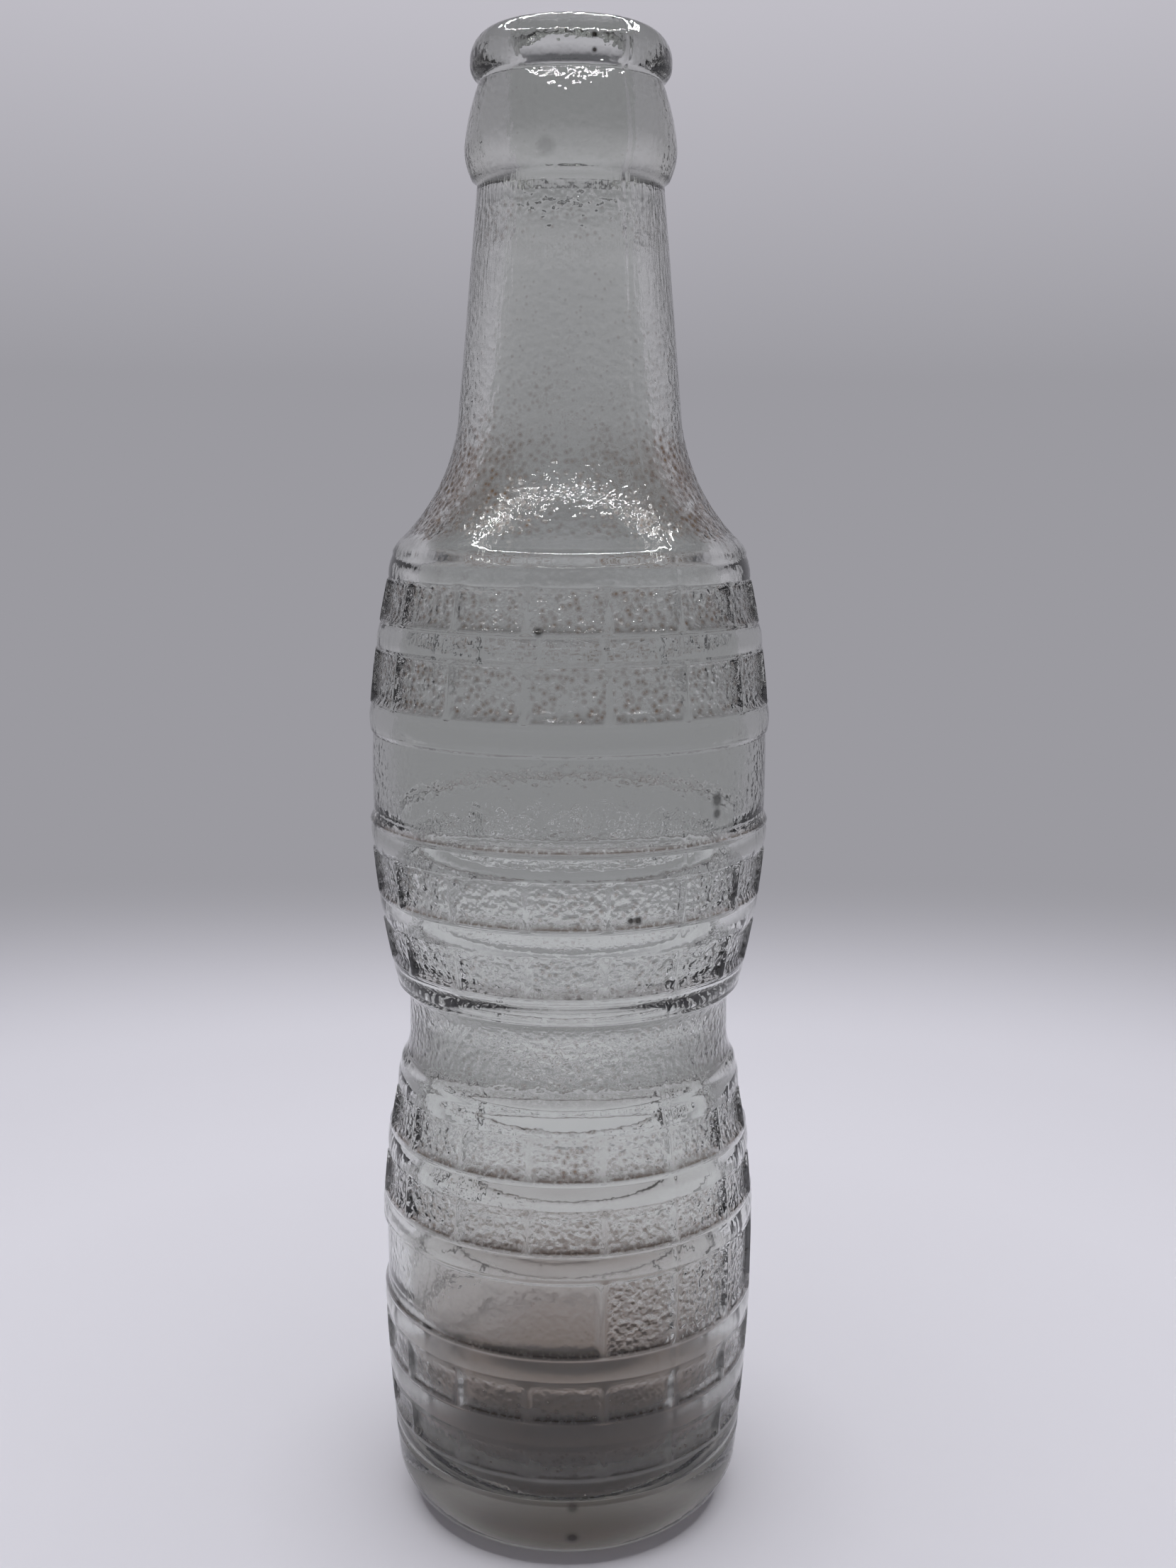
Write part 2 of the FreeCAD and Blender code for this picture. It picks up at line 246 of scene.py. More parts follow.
class StageLook(bpy.types.PropertyGroup):
    """Light tent, lamps and camera"""

    floor_tone: colour("Floor", "#dcdbe2", "Colour of the tent's floor")
    wall_tone: colour("Wall", "#9b9aa0", "Glow of the tent's wall")
    high_tone: colour("High wall", "#c0bec6", "Glow of the wall below the ring lamp")
    dark_tone: colour("Top", "#66666b", "Glow of the tent's open top")
    tent_radius: length("Tent radius", 600.0, "Radius of the tent")
    floor_reach: length("Floor reach", 390.0, "Distance at which the floor has passed into the wall")
    ring_radius: length("Ring lamp radius", 220.0, "Radius of the ring lamp over the bottle")
    ring_width: length("Ring lamp width", 5.0, "Width of the ring lamp's strip")
    ring_height: length("Ring lamp height", 440.0, "Height of the ring lamp over the floor")
    ring_glow: number("Ring lamp glow", 104.0, "Strength of the ring lamp")
    camera_back: length("Camera distance", 235.63, "Distance of the camera from the bottle's axis")
    camera_side: length("Camera offset", 2.65, "Offset of the camera to the right")
    camera_height: length("Camera height", 149.99, "Height of the camera")
    camera_pitch: angle("Camera pitch", 10.5, "How far the camera looks down")
    camera_roll: angle("Camera roll", 0.275, "How far the camera is turned about its view")
    focal_length: bpy.props.FloatProperty(
        name="Focal length",
        description="Focal length for the long side of the picture",
        default=39.06,
        min=1.0,
        unit="CAMERA",
    )


def add_node(tree, kind, links=None, **settings):
    """A node with its settings, its inputs linked to sockets or set to values."""
    node = tree.nodes.new(kind)
    for name, value in settings.items():
        setattr(node, name, value)
    for name, value in (links or {}).items():
        if isinstance(value, bpy.types.NodeSocket):
            tree.links.new(value, node.inputs[name])
        else:
            node.inputs[name].default_value = value
    return node


def new_material(name):
    """An empty material with its output node."""
    material = bpy.data.materials.new(name)
    material.use_nodes = True
    tree = material.node_tree
    tree.nodes.clear()
    return material, tree, tree.nodes.new("ShaderNodeOutputMaterial")


def add_object(name, mesh, material):
    """An object at the origin with its mesh and material."""
    mesh.materials.append(material)
    piece = bpy.data.objects.new(name, mesh)
    bpy.context.scene.collection.objects.link(piece)
    return piece


def walk(corners, spacing):
    """Points along an outline of corners: radius, height and the sweep of the arc that leaves it.

    A sweep is zero for a straight run, above zero for an arc that bulges to the right of the way,
    and below zero for one that bulges to the left.
    """
    points = [Vector(corners[0][:2])]
    for (radius, height, sweep), (next_radius, next_height, _) in zip(corners, corners[1:]):
        start = Vector((radius, height))
        end = Vector((next_radius, next_height))
        chord = end - start
        count = max(1, round(chord.length / spacing))
        steps = [step / count for step in range(1, count + 1)]
        if sweep == 0:
            points += [start.lerp(end, step) for step in steps]
            continue
        left = Vector((-chord.y, chord.x)).normalized() * math.copysign(1, sweep)
        centre = (start + end) / 2 + left * math.sqrt(sweep ** 2 - (chord.length / 2) ** 2)
        turn = (end - centre).angle_signed(start - centre)
        points += [centre + Matrix.Rotation(turn * step, 2) @ (start - centre) for step in steps]
    return points


def soften(points, passes):
    """Round the corners of a chain of points, with its ends held."""
    for _ in range(passes):
        triples = zip(points, points[1:], points[2:])
        inner = [(before + 2 * point + after) / 4 for before, point, after in triples]
        points = [points[0], *inner, points[-1]]
    return points


def barrel_radius(belly, middle, sweep, height):
    """Radius of a barrel's side at a height."""
    return belly - sweep + math.sqrt(sweep ** 2 - (height - middle) ** 2)


def tangent_sweep(across, along):
    """Radius of an arc that leaves its wide end upright and closes in by across over the length along."""
    return (across ** 2 + along ** 2) / (2 * across)


class BottleOutline:
    """Half section of the bottle: the outside up to the rim, then the inside down to the floor."""

    ledge_spacing = 0.3 * MM
    field_spacing = 0.9 * MM
    base_spacing = 1.9 * MM
    heel_spacing = 1.0 * MM
    waist_spacing = 0.5 * MM
    neck_spacing = 1.1 * MM
    finish_spacing = 0.55 * MM
    inner_neck_spacing = 2.4 * MM
    inner_barrel_spacing = 2.2 * MM
    waist_softening = 6
    hoop_over_waist = 6
    hoop_under_waist = 7

    def __init__(self, sizes, height):
        self.sizes = sizes
        self.height = height
        self.heel_sweep = tangent_sweep(
            sizes.lower_belly - sizes.heel_radius, sizes.lower_belly_height - sizes.heel_rounding
        )

    def upper(self, height):
        s = self.sizes
        return barrel_radius(s.upper_belly, s.upper_belly_height, s.upper_sweep, height)

    def lower(self, height):
        s = self.sizes
        sweep = s.lower_sweep if height > s.lower_belly_height else self.heel_sweep
        return barrel_radius(s.lower_belly, s.lower_belly_height, sweep, height)

    def hoop_top(self, number):
        return self.sizes.hoop_heights[number - 1] + self.sizes.hoop_width / 2

    def hoop_foot(self, number):
        return self.sizes.hoop_heights[number - 1] - self.sizes.hoop_width / 2

    def barrel(self, side, low, high):
        """Points up a barrel's side, close together at the edges of the hoops."""
        edges = [h + end * self.sizes.hoop_width / 2 for h in self.sizes.hoop_heights for end in (-1, 1)]
        points = []
        height = low
        while height < high - self.ledge_spacing:
            points.append(Vector((side(height), height)))
            near = min(abs(height + self.ledge_spacing - edge) for edge in edges)
            height += self.ledge_spacing if near < 2 * self.ledge_spacing else self.field_spacing
        points.append(Vector((side(high), high)))
        return points

    def outside(self):
        s = self.sizes
        top = self.height
        foot_radius = s.heel_radius - s.heel_rounding
        foot_inner = foot_radius - s.foot_width
        hollow = tangent_sweep(s.push_up, foot_inner)
        base = walk([(0, s.push_up, -hollow), (foot_inner, 0, 0)], self.base_spacing)
        heel = walk(
            [
                (foot_inner, 0, 0),
                (foot_radius, 0, s.heel_rounding),
                (s.heel_radius, s.heel_rounding, 0),
            ],
            self.heel_spacing,
        )
        waist_rise = self.hoop_top(self.hoop_under_waist)
        waist_end = self.hoop_foot(self.hoop_over_waist)
        flare = tangent_sweep(self.lower(waist_rise) - s.waist_radius, s.waist_foot - waist_rise)
        waist = walk(
            [
                (self.lower(waist_rise), waist_rise, -flare),
                (s.waist_radius, s.waist_foot, 0),
                (s.waist_radius, s.waist_top, 0),
                (self.upper(waist_end), waist_end, 0),
            ],
            self.waist_spacing,
        )
        bead_run = s.bead_radius - s.bore_radius - s.rim_rounding
        bead_foot = top - s.bead_drop - s.bead_land
        neck = walk(
            [
                (self.upper(self.hoop_top(1)), self.hoop_top(1), s.shoulder_rounding),
                (s.shoulder_radius, s.shoulder_height, -s.shoulder_sweep),
                (s.neck_base_radius, s.neck_base_height, 0),
                (s.neck_top_radius, top - s.collar_foot_drop - s.collar_step, 0),
            ],
            self.neck_spacing,
        )
        finish = walk(
            [
                (s.neck_top_radius, top - s.collar_foot_drop - s.collar_step, 0),
                (
                    s.collar_foot_radius,
                    top - s.collar_foot_drop,
                    tangent_sweep(s.collar_radius - s.collar_foot_radius, s.collar_foot_drop - s.collar_drop),
                ),
                (s.collar_radius, top - s.collar_drop, s.collar_sweep),
                (
                    s.crease_radius,
                    top - s.crease_drop,
                    tangent_sweep(s.bead_radius - s.crease_radius, bead_foot - top + s.crease_drop),
                ),
                (s.bead_radius, bead_foot, 0),
                (s.bead_radius, top - s.bead_drop, tangent_sweep(bead_run, s.bead_drop)),
                (s.bore_radius + s.rim_rounding, top, s.rim_rounding),
                (s.bore_radius, top - s.rim_rounding, 0),
            ],
            self.finish_spacing,
        )
        lower = self.barrel(self.lower, s.heel_rounding, waist_rise)
        waist = soften(waist, self.waist_softening)
        upper = self.barrel(self.upper, waist_end, self.hoop_top(1))
        return base + heel[1:] + lower[1:] + waist[1:] + upper[1:] + neck[1:] + finish[1:]

    def inside(self):
        s = self.sizes
        top = self.height
        floor = s.push_up + s.base_thickness
        floor_top = floor + s.floor_rounding
        floor_wide = self.lower(floor_top) - s.wall
        first = s.hoop_heights[0]
        waist_end = self.hoop_top(self.hoop_over_waist)
        waist_rise = self.hoop_top(self.hoop_under_waist)
        neck = walk(
            [
                (s.bore_radius, top - s.rim_rounding, 0),
                (s.bore_radius, top - s.bore_depth, 0),
                (s.neck_base_radius - s.neck_wall, s.neck_base_height, s.inner_shoulder_sweep),
                (
                    s.shoulder_radius - s.inner_shoulder_set_in,
                    s.shoulder_height - s.inner_shoulder_drop,
                    -s.inner_shoulder_rounding,
                ),
                (self.upper(first) - s.wall, first, 0),
            ],
            self.inner_neck_spacing,
        )
        barrels = walk(
            [
                (self.upper(first) - s.wall, first, -(s.upper_sweep - s.wall)),
                (self.upper(waist_end) - s.wall, waist_end, s.inner_waist_sweep),
                (self.lower(waist_rise) - s.wall, waist_rise, -(s.lower_sweep - s.wall)),
                (s.lower_belly - s.wall, s.lower_belly_height, -(self.heel_sweep - s.wall)),
                (floor_wide, floor_top, -s.floor_rounding),
                (floor_wide - s.floor_rounding, floor, 0),
                (0, floor, 0),
            ],
            self.inner_barrel_spacing,
        )
        return neck + barrels[1:]


def smooth_step(low, high, value):
    """0 below low, 1 above high and an even S between them."""
    share = np.clip((value - low) / (high - low), 0, 1)
    return share * share * (3 - 2 * share)


def band(value, start, full, fade, end):
    """1 from full to fade, falling evenly to 0 at start and at end."""
    return smooth_step(start, full, value) * (1 - smooth_step(fade, end, value))


def ripple(points, size):
    """Soft noise from -1 to 1 at points, with waves of about that size."""
    return np.array([noise.noise(Vector(point) / size) for point in points])


class BottleRelief:
    """What the mould presses into the turned wall: hoops, sunk windows, ribs, panels and seams."""

    columns_per_stave = 15
    gather = 0.55
    waist_field = 5
    upper_band = 2
    lower_band = 8
    plain_pebbles = 0.12
    low_pebbles = 0.3

    def __init__(self, sizes, radius, turn, height):
        self.sizes = sizes
        self.radius = radius
        self.turn = turn
        self.height = height
        self.stave = FULL_TURN / sizes.staves

    def from_rib(self):
        """Place across a stave, from the nearest rib: -0.5 to 0.5."""
        place = self.turn / self.stave - 0.5
        return place - np.round(place)

    def gather_columns(self):
        """Draw the columns of vertices together at the ribs."""
        pull = np.sin(FULL_TURN * self.from_rib()) * self.gather / FULL_TURN
        self.turn = self.turn - pull * self.stave

    def wrapped(self, middle, turns):
        """Angle from the nearest of evenly spread places, the first of them at middle."""
        share = (self.turn - middle) / (FULL_TURN / turns)
        return np.abs(share - np.round(share)) * FULL_TURN / turns

    def off_rib(self):
        return self.radius * np.abs(self.from_rib()) * self.stave - self.sizes.rib_width / 2

    def off_panel_rib(self):
        """As off_rib, with no ribs inside the two plain panels."""
        inset = self.panel_inset()
        return np.where(inset > 0, self.radius * inset - self.sizes.rib_width / 2, self.off_rib())

    def panel_inset(self):
        """Angle inside the edge of the nearer plain panel, below zero outside it."""
        half = self.sizes.panel_staves * self.stave / 2
        return half - self.wrapped(self.sizes.panel_turn, 2)

    def field(self, index):
        """Depth of the field under one hoop, 0 to 1, with rounded corners."""
        s = self.sizes
        top = s.hoop_heights[index] - s.hoop_width / 2
        foot = s.hoop_heights[index + 1] + s.hoop_width / 2
        rise = np.minimum(top - self.height, (self.height - foot) * s.ledge / s.foot_ledge)
        if index == self.upper_band:
            across = np.full_like(rise, s.hoop_width)
        elif index == self.lower_band:
            across = self.off_panel_rib()
        else:
            across = self.off_rib()
        corner = s.window_corner
        bend = corner - np.hypot(np.maximum(corner - rise, 0), np.maximum(corner - across, 0))
        return smooth_step(0, s.ledge, np.minimum(np.minimum(rise, across), bend))

    def windows(self):
        """Depth of every sunk field, 0 to 1, and the share of it that is pebbled."""
        depth = np.zeros_like(self.height)
        pebbled = np.zeros_like(self.height)
        for index in range(len(self.sizes.hoop_heights) - 1):
            if index == self.waist_field:
                continue
            field = self.field(index)
            depth = np.maximum(depth, field)
            if index == self.upper_band:
                share = self.plain_pebbles
            elif index == self.lower_band:
                share = np.where(self.panel_inset() > 0, self.plain_pebbles, 1.0)
            else:
                share = 1.0 if index < self.lower_band else self.low_pebbles
            pebbled = np.maximum(pebbled, field * share)
        return depth, pebbled

    def crown(self):
        """Fall of each hoop's surface away from its middle."""
        s = self.sizes
        fall = np.zeros_like(self.height)
        for hoop in s.hoop_heights:
            off = np.abs(self.height - hoop) / (s.hoop_width / 2)
            fall = np.where(off < 1, s.hoop_crown * off ** 2, fall)
        return fall

    def seam(self):
        """Ridge that the halves of the mould leave."""
        off = self.radius * self.wrapped(self.sizes.seam_turn, 2)
        return self.sizes.seam_height * (1 - smooth_step(0, self.sizes.seam_width, off))


def lathe(outline, steps):
    """Spin the half section into a closed wall and mark which vertices lie outside."""
    bm = bmesh.new()
    side = bm.verts.layers.float.new("outside")
    outside = outline.outside()
    inside = outline.inside()
    chain = []
    for index, point in enumerate(outside + inside[1:]):
        vert = bm.verts.new((0, -point.x, point.y))
        vert[side] = 1.0 if index < len(outside) else 0.0
        chain.append(vert)
    edges = [bm.edges.new(pair) for pair in zip(chain, chain[1:])]
    bmesh.ops.spin(
        bm, geom=chain + edges, cent=(0, 0, 0), axis=(0, 0, 1), angle=FULL_TURN, steps=steps, use_merge=True
    )
    bmesh.ops.remove_doubles(bm, verts=bm.verts, dist=WELD)
    bmesh.ops.recalc_face_normals(bm, faces=bm.faces)
    mesh = bpy.data.meshes.new("bottle_glass")
    bm.to_mesh(mesh)
    bm.free()
    mesh.shade_smooth()
    return mesh


class BottleDirt:
    """Where dirt settles on the pressed wall, and where shade is painted along the feet of the rows. Bands
    and blends are in millimetres.
    """

    # Bands over a hoop's upper edge: start, full, fade and end.
    silt_and_shade_band = (0.0, 0.3, 0.8, 1.6)
    waist_silt_and_shade_band = (0.0, 1.0, 1.0, 4.0)
    ledge_band = (-0.4, 0.3, 0.3, 2.2)
    # Band over the middle of the first hoop.
    shoulder_band = (0.0, 4.0, 10.0, 26.0)
    upper_blend = 3.0
    lower_blend = 20.0
    # Shares of the fine dirt and painted shade along the feet of the rows.
    upper_silt_and_shade = 0.65
    waist_silt_and_shade = 0.5
    rib_silt_and_shade = 0.7
    sunk = (0.0, 0.35)
    # Shares of the brown dirt.
    upper_field = 0.24
    lower_field = 0.1
    any_field = 0.04
    shoulder_front = 0.2
    shoulder_sides = 0.4
    upper_ledge = 0.42
    lower_ledge = 0.25
    wiped_off = 0.12

    def __init__(self, relief, depth):
        self.relief = relief
        self.hoops = relief.sizes.hoop_heights
        self.depth = depth

    def over(self, hoop):
        """Height over a hoop's upper edge, in millimetres."""
        return (self.relief.height - hoop - self.relief.sizes.hoop_width / 2) / MM

    def silt_and_shade(self):
        """Fine dirt and painted shade along the foot of each row, broken by the ribs of the uppermost rows.
        """
        sunk = smooth_step(*self.sunk, self.depth)
        lines = np.zeros_like(self.depth)
        for index, hoop in enumerate(self.hoops):
            over = self.over(hoop)
            if index == self.relief.waist_field + 1:
                line = self.waist_silt_and_shade * band(over, *self.waist_silt_and_shade_band)
            elif index > self.relief.upper_band:
                line = band(over, *self.silt_and_shade_band) * np.maximum(sunk, self.rib_silt_and_shade)
            else:
                line = band(over, *self.silt_and_shade_band) * sunk * self.upper_silt_and_shade
            lines = np.maximum(lines, line)
        return lines

    def soil(self):
        """How readily brown dirt holds: most on ledges that face up, least on the smooth hoops."""
        height = self.relief.height / MM
        first, third, sixth = (self.hoops[index] / MM for index in (0, 2, 5))
        ledge = np.maximum.reduce([band(self.over(hoop), *self.ledge_band) for hoop in self.hoops])
        upper = smooth_step(third - self.upper_blend, third + self.upper_blend, height)
        lower = 1 - smooth_step(sixth - self.lower_blend, sixth, height)
        shoulder = band(height - first, *self.shoulder_band)
        aside = np.abs(np.sin(self.relief.turn))
        field = self.upper_field * upper + self.lower_field * lower + self.any_field
        edge = self.upper_ledge * upper * (1 + aside) / 2 + self.lower_ledge * lower
        held = self.depth * (field + ledge * edge)
        held += shoulder * (self.shoulder_front + self.shoulder_sides * aside)
        return held - self.wiped_off


def nearest(places, turns, outside, turn, rise):
    """Place of the outside vertex nearest to an angle from the front and a height."""
    off = np.hypot((turns - math.radians(turn)) * ARM, places[:, 2] - rise * MM)
    return tuple(places[np.argmin(off + (1 - outside))])


class BlownWall:
    """Slow waves of the blown wall: sizes of the waves, and their shares of the sway."""

    slow_wave = 11 * MM
    swell_wave = 5 * MM
    inner_wave = 16 * MM
    # Shifts that set the patterns apart.
    swell_shift = 0.4
    inner_shift = 0.9
    slow_share = 0.5
    swell_share = 0.15
    pebbled_share = 0.35
    inner_share = 1.5
    # Radii inside which the base stays calm.
    outer_calm = 5 * MM
    inner_calm = 8 * MM

    def __init__(self, places, radius):
        self.radius = radius
        self.slow = ripple(places, self.slow_wave)
        self.swell = ripple(places + self.swell_shift, self.swell_wave)
        self.inner = ripple(places + self.inner_shift, self.inner_wave)

    def outside(self, pebbled):
        """Sink of the outside, 0 or more."""
        share = self.swell_share + self.pebbled_share * pebbled
        return (1 - self.slow) * self.slow_share + (1 - self.swell) * share

    def inside(self):
        """Sway of the inside, to either side."""
        return self.inner_share * smooth_step(0, self.inner_calm, self.radius) * self.inner

    def calm(self):
        """0 at the axis and 1 where the outside may move."""
        return smooth_step(0, self.outer_calm, self.radius)


class FinishMasks:
    """Masks that the glass reads, one value a vertex. Bands and blends are in millimetres."""

    # Bands from the collar's foot.
    sparkle_band = (-10.0, -7.0, -4.0, -2.0)
    streak_rise = (-24.0, -4.0)
    finish_rise = (-1.0, 0.0)
    # Blends at the shoulder's edge, up the neck and at the waist's ends.
    shoulder_rise = (-1.0, 1.0)
    neck_fade_start = 6.0
    neck_fade_end = 24.0
    waist_ends = (3.0, 1.0)
    film_waves = 4.0
    # Shares of the pebbles.
    neck_pebbles = 0.3
    neck_fade = 0.5
    sparkle_pebbles = 0.5
    waist_pebbles = 0.6
    finish_pebbles = 0.15
    least_pebbles = 0.04
    # Shares of the streaks.
    shoulder_streaks = 0.12
    neck_streaks = 0.75
    # Where there are few pebbles, little dirt holds, and the inside has none.
    few_pebbles = (0.0, 0.3)
    smooth_soil = 0.6
    inside_soil = -2.0
    # The film under the base starts at this share of the foot's radius.
    underside_start = 0.8

    def __init__(self, sizes, height):
        self.sizes = sizes
        self.height = height
        self.from_collar = (height - height.max() + sizes.collar_foot_drop) / MM
        self.shoulder = smooth_step(*self.shoulder_rise, (height - sizes.shoulder_height) / MM)
        self.finish = smooth_step(*self.finish_rise, self.from_collar)

    def stipple(self, pebbled):
        """How strongly the glass is pebbled."""
        s = self.sizes
        fade = smooth_step(
            s.shoulder_height + self.neck_fade_start * MM,
            s.neck_base_height + self.neck_fade_end * MM,
            self.height,
        )
        neck = self.neck_pebbles * self.shoulder * (1 - self.neck_fade * fade) * (1 - self.finish)
        foot_blend, top_blend = (blend * MM for blend in self.waist_ends)
        waist = band(
            self.height, s.waist_foot - foot_blend, s.waist_foot, s.waist_top, s.waist_top + top_blend
        )
        sparkle = band(self.from_collar, *self.sparkle_band)
        return np.maximum.reduce(
            [
                pebbled,
                neck,
                self.sparkle_pebbles * sparkle,
                self.waist_pebbles * waist,
                self.finish_pebbles * self.finish,
            ]
        )

    def streak(self):
        """How strongly the neck is drawn into streaks."""
        drawn = self.neck_streaks * smooth_step(*self.streak_rise, self.from_collar)
        return (self.shoulder_streaks * self.shoulder + drawn) * (1 - self.finish)

    def film(self, top, slow):
        """Dried film inside, thick on the floor and fading towards its wavy top."""
        return 1 - smooth_step(0, top, self.height + self.film_waves * MM * slow)

    def underside(self, radius):
        """Film under the base, inside the foot ring."""
        foot = self.sizes.heel_radius - self.sizes.heel_rounding
        spread = 1 - smooth_step(self.underside_start * foot, foot, radius)
        return spread * (self.height < self.sizes.heel_rounding)


def emboss(mesh, sizes, look):
    """Press the relief into the turned wall and write the masks that the finish reads."""
    count = len(mesh.vertices)
    places = np.empty(count * 3)
    mesh.vertices.foreach_get("co", places)
    places = places.reshape(-1, 3)
    outside = np.empty(count)
    mesh.attributes["outside"].data.foreach_get("value", outside)
    outer = outside == 1
    radius = np.hypot(places[:, 0], places[:, 1])
    height = places[:, 2]
    relief = BottleRelief(sizes, radius, np.arctan2(places[:, 0], -places[:, 1]), height)
    relief.gather_columns()
    depth, pebbled = relief.windows()
    wall = BlownWall(places, radius)
    body = smooth_step(sizes.heel_rounding, 2 * sizes.heel_rounding, height)
    sink = depth * sizes.relief + relief.crown() - relief.seam() * body
    sink += look.sway * body * wall.outside(pebbled)
    radius = np.where(outer, radius - sink * wall.calm(), radius + look.sway * wall.inside())
    places[:, 0] = radius * np.sin(relief.turn)
    places[:, 1] = -radius * np.cos(relief.turn)
    mesh.vertices.foreach_set("co", places.ravel())
    finish = FinishMasks(sizes, height)
    dirt = BottleDirt(relief, depth)
    stipple = finish.stipple(pebbled)
    smooth = 1 - smooth_step(*finish.few_pebbles, stipple)
    masks = {
        "stipple": np.maximum(stipple, finish.least_pebbles) * outside,
        "streak": finish.streak() * outside,
        "soil": np.where(outer, dirt.soil() - finish.smooth_soil * smooth, finish.inside_soil),
        "film": np.where(outer, finish.underside(radius), finish.film(look.residue_top, wall.slow)),
        # Fine dirt and painted shade along the foot of each row.
        "silt_and_shade": dirt.silt_and_shade() * outside,
    }
    for name, values in masks.items():
        attribute = mesh.attributes.new(name, "FLOAT", "POINT")
        attribute.data.foreach_set("value", values.astype(np.float32))
    mesh.update()
    return [nearest(places, relief.turn, outside, turn, rise) for turn, rise, _, _ in SPECKS]


